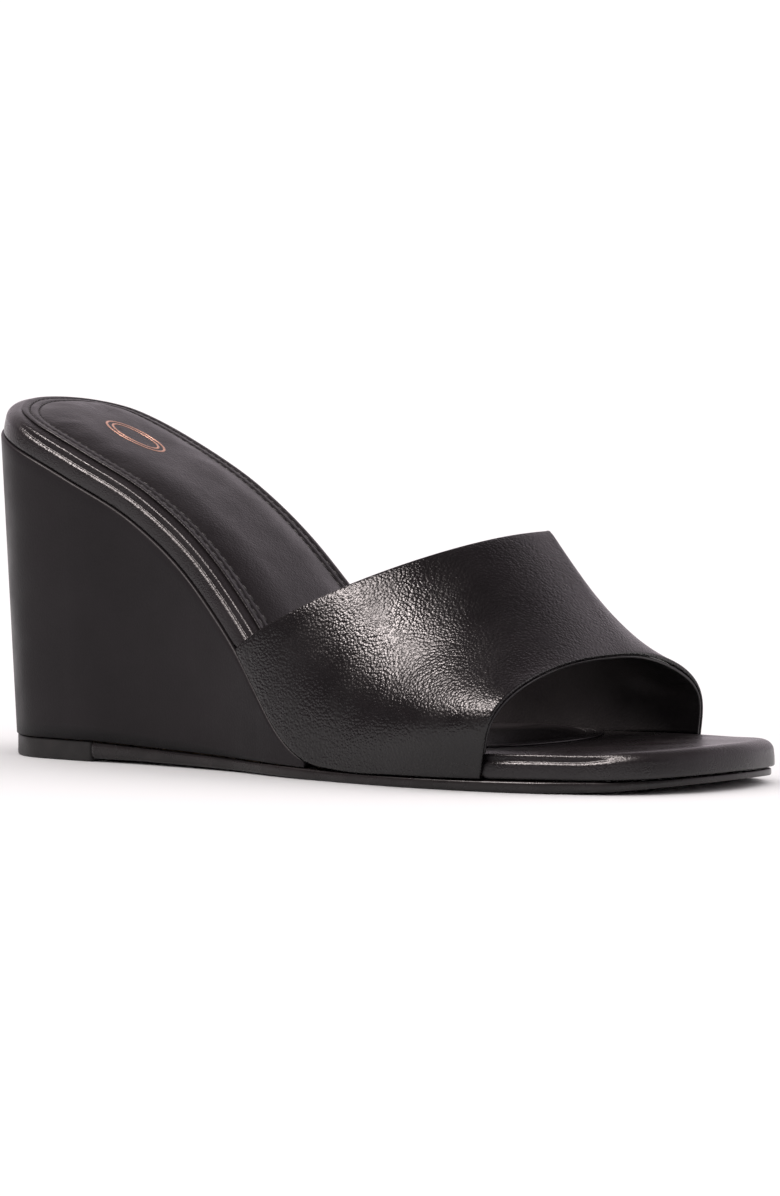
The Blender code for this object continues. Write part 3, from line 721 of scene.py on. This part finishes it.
def sole_sides():
    """The outsole's outline: under the wedge's foot at the heel, under the footbed in the forepart."""
    sides = []
    for points, normals in FOOTBED_SIDES:
        upper = on_footbed(points + normals * along(SOLE_INSET, points[:, :1]), WEDGE_TOP)
        foot = wedge_foot(on_footbed(points, WEDGE_TOP))
        start, end = HEEL_BLEND
        heel = smoothstep((end - upper[:, :1]) / (end - start))
        sides.append((foot[:, :2] * heel + upper[:, :2] * (1 - heel), normals))
    return sides


def outsole():
    """The rubber sheet from the top piece to the toe, with a shallow groove round its lower face."""
    ring = Ring(sole_sides(), SOLE_POINTS, start=TOP_PIECE_FRONT + TOP_PIECE_GAP)
    edge = [(1.6, 1), (0.5, 1), (0.2, 0.95), (0.05, 0.86), (0, 0.72), (0, 0.3), (0.08, 0.14), (0.3, 0.04)]
    groove = [(0.9, 0), (3.4, 0), (3.6, 0.06), (4.0, 0.06), (4.2, 0)]
    skin = rubber("outsole_rubber_fine", (0.011, 0.0095, 0.0098), (0.017, 0.0145, 0.0148), 0.28)
    piece = shell_from("outsole_sheet", ring, edge + groove, (1, 0), skin, FOOTBED_ROWS, sole_surface)
    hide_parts("outsole")


def level(plan, height):
    """Plan points at one height over the ground."""
    return np.concatenate([plan, np.full(plan.shape[:-1] + (1,), float(height))], axis=-1)


def top_piece():
    """The moulded lift under the heel, with its nails' recesses open to the ground."""
    sides = []
    for points, normals in FOOTBED_SIDES:
        sides.append((wedge_foot(on_footbed(points, WEDGE_TOP))[:, :2], normals))
    ring = Ring(sides, TOP_PIECE_POINTS, end=TOP_PIECE_FRONT)
    upper = SOLE_UPPER_FACE[0][1]
    profile = [(1.2, upper), (0.25, upper), (0.05, upper - 0.12), (0, upper - 0.4), (0, 0.6), (0.06, 0.2)]
    profile += [(0.22, 0.04), (0.6, 0)]
    skin = rubber("top_piece_rubber_fine", (0.008, 0.008, 0.008), (0.016, 0.015, 0.015), 0.5)
    piece = shell_from("top_piece_lift", ring, profile, (upper, 0), skin, TOP_PIECE_ROWS, level)
    size = {"radius": NAIL_RECESS * MM, "depth": 2 * RECESS_DEPTH * MM}
    for number, (x, y) in enumerate(TOP_PIECE_NAILS, 1):
        place = ((x - FRAME_X) * MM, (y - FRAME_Y) * MM, 0)
        bpy.ops.mesh.primitive_cylinder_add(vertices=32, location=place, **size)
        cutter = bpy.context.object
        hole = piece.modifiers.new(f"recess_{number}", "BOOLEAN")
        hole.operation = "DIFFERENCE"
        hole.solver = "EXACT"
        hole.object = cutter
        bpy.context.view_layer.objects.active = piece
        bpy.ops.object.modifier_apply(modifier=hole.name)
        bpy.data.objects.remove(cutter, do_unlink=True)
    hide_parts("top_piece")


def vamp_section(u, angle):
    """A point of the vamp's outer face: u from its back edge to its front edge, angle over the foot."""
    ridge = [(1 - u) ** 2 * a + 2 * u * (1 - u) * b + u**2 * c for a, b, c in zip(*VAMP_RIDGE)]
    on_lateral = angle < math.pi / 2
    foot = np.empty(angle.shape + (3,))
    for side, ends in enumerate((VAMP_LATERAL, VAMP_MEDIAL)):
        plan, inward = side_at(ends[0] + (ends[1] - ends[0]) * u, side)
        base = on_footbed(plan - inward * VAMP_PROUD, MARGIN_BOTTOM - VAMP_LEATHER)
        foot[on_lateral if side == 0 else ~on_lateral] = base
    rise = np.clip(np.sin(angle), 0, 1)
    out = np.abs(np.cos(angle))
    sweep, square, tall = (a + (b - a) * u for a, b in (VAMP_SWEEP, VAMP_SQUARE, VAMP_TALL))
    bulge = np.where(on_lateral, -VAMP_BULGE[0], VAMP_BULGE[1]) * np.sin(math.pi * rise)
    x = foot[..., 0] + (ridge[0] - foot[..., 0]) * rise**sweep
    y = ridge[1] + (foot[..., 1] - ridge[1]) * out ** (2 / square) + bulge
    z = foot[..., 2] + (ridge[2] - foot[..., 2]) * rise ** (2 / tall)
    return np.stack([x, y, z], axis=-1)


class VampFace:
    """The vamp's outer face and its inward normals, read by distance from its back or front edge.

    It ends at a depth under the footbed's upper face, or with no such depth in its lasted margins.
    """

    def __init__(self, columns, foot_depth=None):
        self.u = np.linspace(0, 1, 161)
        rows = []
        inward_rows = []
        fine = np.linspace(0, math.pi, 1441)
        for u in self.u:
            section = vamp_section(u, fine)
            steady = min(u, VAMP_STEADY)
            here = vamp_section(steady, fine)
            ahead = vamp_section(steady + 0.003, fine)
            inward = np.cross(np.gradient(here, axis=0), ahead - here)
            inward /= np.linalg.norm(inward, axis=1)[:, None] + 1e-12
            lengths = arc_lengths(section)
            ends = (0, lengths[-1])
            if foot_depth is not None:
                ends = self.ends_at(section, lengths, foot_depth)
            where = np.linspace(*ends, columns)
            inward = resample(inward, where, lengths)
            inward[[0, -1]] = inward[[1, -2]]
            inward /= np.linalg.norm(inward, axis=1)[:, None]
            rows.append(resample(section, where, lengths))
            inward_rows.append(inward)
        self.face = np.array(rows)
        self.inward = np.array(inward_rows)
        if foot_depth is None:
            self.add_margins()

    def ends_at(self, section, lengths, depth):
        """Where the section crosses a depth under the footbed's upper face, on its two sides."""
        height = (section[:, 2] - footbed_height(section[:, 0])) * footbed_normal(section[:, 0])[1]
        quarter = len(section) // 4
        low = np.interp(-depth, height[:quarter], lengths[:quarter])
        high = np.interp(-depth, height[::-1][:quarter], lengths[::-1][:quarter])
        return low, high

    def add_margins(self):
        """Adds the lasted margins: round under the footbed's edge and inwards."""
        turn = [(-1.02, 6.35), (-0.85, 6.62), (-0.55, 6.82), (-0.2, 6.9), (1.0, 6.9), (4.5, 6.9), (8.0, 6.9)]
        blocks = []
        for side, ends in enumerate((VAMP_LATERAL, VAMP_MEDIAL)):
            plan, inward = side_at(ends[0] + (ends[1] - ends[0]) * self.u, side)
            normal_x, normal_z = footbed_normal(plan[:, 0])
            up = np.stack([normal_x, 0 * normal_x, normal_z], axis=1)
            across = np.concatenate([inward, np.zeros((len(inward), 1))], axis=1)
            points = np.stack([on_footbed(plan + inward * inset, depth) for inset, depth in turn], axis=1)
            lean = np.linspace(0.35, 1, 4).tolist() + [1, 1, 1]
            normals = np.stack([up * k + across * (1 - k) for k in lean], axis=1)
            normals /= np.linalg.norm(normals, axis=2)[..., None]
            blocks.append((points, normals))
        (left, left_in), (right, right_in) = blocks
        self.face = np.concatenate([left[:, ::-1], self.face, right], axis=1)
        self.inward = np.concatenate([left_in[:, ::-1], self.inward, right_in], axis=1)

    def loops(self, profile):
        """A loop of points for each column, from (origin, place, depth) triples.

        A place is in millimetres from the back edge where its origin is "back", in millimetres from
        the front edge where it is "front", and otherwise a share of the way from back to front.
        """
        curl_depth, curl_reach = VAMP_CURL
        depths = np.array([depth for _, _, depth in profile])[:, None]
        columns = []
        for c in range(self.face.shape[1]):
            line = self.face[:, c]
            lengths = arc_lengths(line)
            total = lengths[-1]
            where = []
            for origin, place, _ in profile:
                where.append({"back": place, "front": total - place, "share": place * total}[origin])
            where = np.array(where)
            curl = curl_depth * np.clip(1 - where / curl_reach, 0, 1)[:, None] ** 2
            inward = resample(self.inward[:, c], where, lengths)
            inward /= np.linalg.norm(inward, axis=1)[:, None]
            columns.append(resample(line, where, lengths) + inward * (depths + curl))
        return columns


def fold(origin):
    """A folded edge of the vamp: from the outer face round to the inner side of its hem."""
    half = HEM_DEPTH / 2
    turn = np.linspace(math.pi / 2, -math.pi / 2, 9)
    return [(origin, half - half * math.cos(a), half - half * math.sin(a)) for a in turn]


def vamp():
    """The vamp's leather: its outer face, folded edges with their hems, and lasted margins."""
    face = VampFace(VAMP_POINTS)
    near_back = [("back", place, 0) for place in (0.9, 1.4, 2.0, 2.7, 3.4)]
    outside = near_back + [("share", k, 0) for k in np.linspace(0.1, 0.97, 68)]
    outside += [("front", place, 0) for place in (1.1, 0.8)]
    hem = [("front", place, HEM_DEPTH) for place in (0.8, 1.1, 1.5, 1.9, 2.4)]
    hem += [("share", 1 - VAMP_HEM, HEM_DEPTH), ("share", 1 - VAMP_HEM - VAMP_HEM_STEP, VAMP_LEATHER)]
    inside = [("share", k, VAMP_LEATHER) for k in np.linspace(0.88, 0.12, 12)]
    hem_back = [("share", VAMP_HEM + VAMP_HEM_STEP, VAMP_LEATHER), ("share", VAMP_HEM, HEM_DEPTH)]
    hem_back += [("back", place, HEM_DEPTH) for place in (2.6, 1.8, 1.1)]
    loop = outside + fold("front") + hem + inside + hem_back + fold("back")[::-1]
    mesh = bmesh.new()
    layers = add_rings(mesh, face.loops(loop))
    mesh.faces.new(layers[0])
    mesh.faces.new(layers[-1])
    skin = leather("vamp_nappa", VAMP_BLACK, 0.25, 0.62, 0.00072, 0.42)
    piece = make_object("vamp_shell", mesh, skin)
    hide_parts("vamp_outer")


def lining_edge(origin):
    """The lining's edge and its first few millimetres, from its outer face round to its inner face."""
    outer, inner = LINING_AT_EDGE
    outer_in, inner_in = LINING_INSIDE
    places = (0.8, 1.6, 2.4, 3.2, LINING_SETTLES)
    settled = [(place, smoothstep(place / LINING_SETTLES)) for place in places]
    start = LINING_SETBACK
    corner = 0.07
    profile = [(place, outer + (outer_in - outer) * part) for place, part in settled[::-1]]
    profile += [(start + 0.25, outer), (start + corner, outer + corner), (start, (outer + inner) / 2)]
    profile += [(start + corner, inner - corner), (start + 0.25, inner)]
    profile += [(place, inner + (inner_in - inner) * part) for place, part in settled]
    return [(origin, place, depth) for place, depth in profile]


def vamp_lining():
    """The vamp's lining leather, from edge to edge and down to the footbed."""
    face = VampFace(LINING_POINTS, LINING_FOOT)
    outer, inner = LINING_INSIDE
    loop = lining_edge("back") + [("share", k, inner) for k in np.linspace(0.12, 0.88, 44)]
    loop += lining_edge("front")[::-1] + [("share", k, outer) for k in np.linspace(0.88, 0.12, 24)]
    mesh = bmesh.new()
    layers = add_rings(mesh, face.loops(loop))
    mesh.faces.new(layers[0])
    mesh.faces.new(layers[-1])
    skin = leather("lining_calf", LINING_BLACK, 0.4, 0.3, 0.0006, 0.5)
    piece = make_object("vamp_lining_skin", mesh, skin)
    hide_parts("vamp_lining")


def carried_over():
    """Finishes for the CAD pieces that stay: what is hidden inside, and the metal."""
    foam = grained("cushion_foam_fine", (0.42, 0.37, 0.3), (0.62, 0.56, 0.46), 900, 0.9, 0.6)
    board = grained("fibreboard_fine", (0.3, 0.2, 0.12), (0.5, 0.37, 0.24), 700, 0.85, 0.4, 0, (1, 4, 1))
    cork = grained("cork_fine", (0.28, 0.17, 0.09), (0.58, 0.4, 0.24), 320, 0.9, 0.7)
    steel = grained("shank_steel_fine", (0.42, 0.42, 0.44), (0.6, 0.6, 0.62), 900, 0.32, 0.1, 1, (0.1, 4, 1))
    bright = grained("fastener_steel_fine", (0.5, 0.5, 0.5), (0.68, 0.68, 0.67), 1500, 0.35, 0.1, 1)
    cloth = grained("interlining_fine", (0.38, 0.38, 0.36), (0.6, 0.6, 0.57), 1800, 0.9, 0.6, 0, (3, 1, 1))
    tape = grained("nylon_tape_fine", (0.58, 0.58, 0.56), (0.75, 0.75, 0.73), 2200, 0.6, 0.5, 0, (1, 3, 1))
    finishes = {
        "foam_cushion": foam, "insole_board": board, "forepart_filler": cork, "wedge_core": cork,
        "shank": steel, "vamp_interlining": cloth, "topline_tape_back": tape, "topline_tape_front": tape,
    }
    for name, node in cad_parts.items():
        finish = finishes.get(name)
        if name.startswith(("wedge_nail", "shank_rivet", "top_piece_nail")):
            finish = bright
        if finish is not None:
            node.data.materials.clear()
            node.data.materials.append(finish)


# ---------------------------------------------------------------- studio


def direction(azimuth, elevation):
    """A unit vector, with azimuth 0 in front of the lateral side and growing towards the toe."""
    azimuth = math.radians(azimuth)
    elevation = math.radians(elevation)
    flat = math.cos(elevation)
    return Vector((math.sin(azimuth) * flat, -math.cos(azimuth) * flat, math.sin(elevation)))


def soft_sun(name, azimuth, elevation, spread, strength, colour):
    """A round soft box far away, so that it lights evenly."""
    data = bpy.data.lights.new(name, "SUN")
    data.energy = strength
    data.color = colour
    data.angle = math.radians(spread)
    light = bpy.data.objects.new(name, data)
    light.rotation_euler = direction(azimuth, elevation).to_track_quat("Z", "Y").to_euler()
    bpy.context.scene.collection.objects.link(light)
    return light


def link_light(light, pieces, state):
    """Keeps a light off some pieces ("EXCLUDE") or to them alone ("INCLUDE")."""
    group = bpy.data.collections.new(f"{light.name}_receivers")
    for piece in pieces:
        group.objects.link(piece)
    for entry in group.collection_objects:
        entry.light_linking.link_state = state
    light.light_linking.receiver_collection = group


def studio_sky():
    """A dim studio with a white wall low behind the medial side; the background itself is plain white."""
    world = bpy.data.worlds.new("studio_sky")
    world.use_nodes = True
    tree = world.node_tree
    place = add_node(tree, "ShaderNodeTexCoord").outputs["Generated"]
    toward = add_node(tree, "ShaderNodeSeparateXYZ", {0: place})
    walls = []
    for axis, (start, end), low, high in (("Y", WALL_SIDE, 0.0, WALL_GLOW), ("Z", WALL_TOP, 1.0, 0.0)):
        inputs = {"From Min": start, "From Max": end, "To Min": low, "To Max": high}
        inputs["Value"] = toward.outputs[axis]
        wall = add_node(tree, "ShaderNodeMapRange", inputs, interpolation_type="SMOOTHSTEP")
        walls.append(wall.outputs["Result"])
    room = {0: walls[0], 1: walls[1], 2: ROOM_GLOW}
    glow = add_node(tree, "ShaderNodeMath", room, operation="MULTIPLY_ADD")
    seen = add_node(tree, "ShaderNodeLightPath").outputs["Is Camera Ray"]
    plain = add_node(tree, "ShaderNodeMath", {0: seen, 1: BACKGROUND_GLOW}, operation="MULTIPLY")
    both = {0: glow.outputs[0], 1: plain.outputs[0]}
    strength = add_node(tree, "ShaderNodeMath", both, operation="MAXIMUM").outputs[0]
    shade = tree.nodes["Background"]
    feed(tree, shade.inputs["Strength"], strength)
    feed(tree, shade.inputs["Color"], (*ROOM_COLOUR, 1))
    bpy.context.scene.world = world


def studio(edges):
    """A white floor, a dim room with a white wall, and soft boxes for the sandal, its edges and the floor."""
    bpy.ops.mesh.primitive_plane_add(size=FLOOR_SIZE, location=(0, 0, 0))
    floor = bpy.context.object
    floor.name = "floor"
    n = Nodes("floor_white")
    tone = n.ramp(n.noise(2, 2), (0.3, (0.93, 0.93, 0.93)), (0.7, (0.95, 0.95, 0.95)))
    floor.data.materials.append(n.finish(Base_Color=tone, Roughness=0.9, Specular_IOR_Level=0.0))
    studio_sky()
    key = soft_sun("key", KEY_AZIMUTH, KEY_ELEVATION, KEY_SPREAD, KEY_STRENGTH, KEY_COLOUR)
    wash = soft_sun("floor_wash", 0, 90, WASH_SPREAD, WASH_STRENGTH, WASH_COLOUR)
    strip = soft_sun("edge_strip", STRIP_AZIMUTH, STRIP_ELEVATION, STRIP_SPREAD, STRIP_STRENGTH, KEY_COLOUR)
    link_light(key, [floor], "EXCLUDE")
    link_light(wash, [floor], "INCLUDE")
    link_light(strip, edges, "INCLUDE")
    bpy.context.scene.view_settings.view_transform = "Standard"


def camera():
    """The camera, turned a little about its own axis and aimed at the middle of the sandal."""
    back = direction(CAMERA_AZIMUTH, CAMERA_ELEVATION)
    target = (Vector(CAMERA_TARGET) - Vector((FRAME_X, FRAME_Y, 0))) * MM
    level_view = (-back).to_track_quat("-Z", "Y")
    data = bpy.data.cameras.new("camera")
    data.lens = CAMERA_LENS
    data.clip_end = 100
    eye = bpy.data.objects.new("camera", data)
    eye.location = target + back * CAMERA_DISTANCE
    eye.rotation_euler = (level_view @ Quaternion((0, 0, 1), math.radians(CAMERA_ROLL))).to_euler()
    bpy.context.scene.collection.objects.link(eye)
    bpy.context.scene.camera = eye


camera()
wrap = footbed_wrap()
sock()
wedge = wedge_skin()
outsole()
top_piece()
vamp()
vamp_lining()
carried_over()
studio([wrap, wedge])
